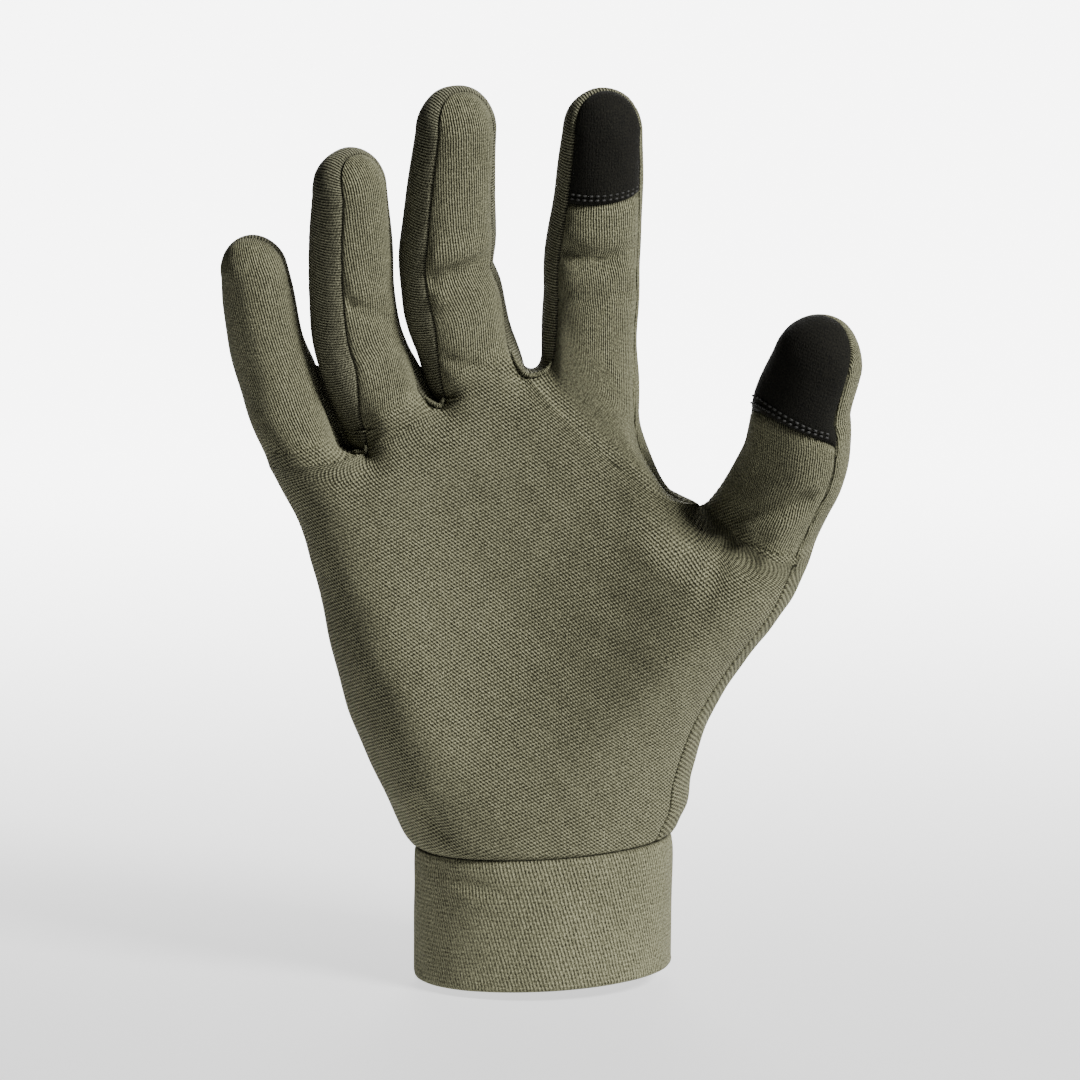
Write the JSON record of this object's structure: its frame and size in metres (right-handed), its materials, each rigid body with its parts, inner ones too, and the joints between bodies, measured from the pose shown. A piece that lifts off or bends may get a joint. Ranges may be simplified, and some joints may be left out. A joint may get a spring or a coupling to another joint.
{
  "type": "glove liner",
  "caption": "Thin knit right-hand glove liner, filled out as worn, with side strips between the fingers, dark touch tips on thumb and index finger and a folded cuff.",
  "frame": {"origin": "centre of the cuff's opening, level with its hem where the wrist comes out", "axes": "+Z from the wrist to the fingertips, -Y out of the palm, +X towards the thumb"},
  "size_m": [0.1515, 0.0574, 0.2222],
  "materials": {
    "body_knit": "olive brushed jersey knit, matte",
    "touch_cloth": "black felted conductive cloth, matte",
    "cuff_knit": "olive jersey knit folded double, matte"
  },
  "bodies": {
    "root": {"palm_panel": "body_knit", "back_panel": "body_knit", "fourchette_little_ring": "body_knit", "fourchette_ring_middle": "body_knit", "fourchette_middle_index": "body_knit", "index_touch_tip": "touch_cloth", "thumb_touch_tip": "touch_cloth", "cuff_band": "cuff_knit"}
  },
  "joints": []
}
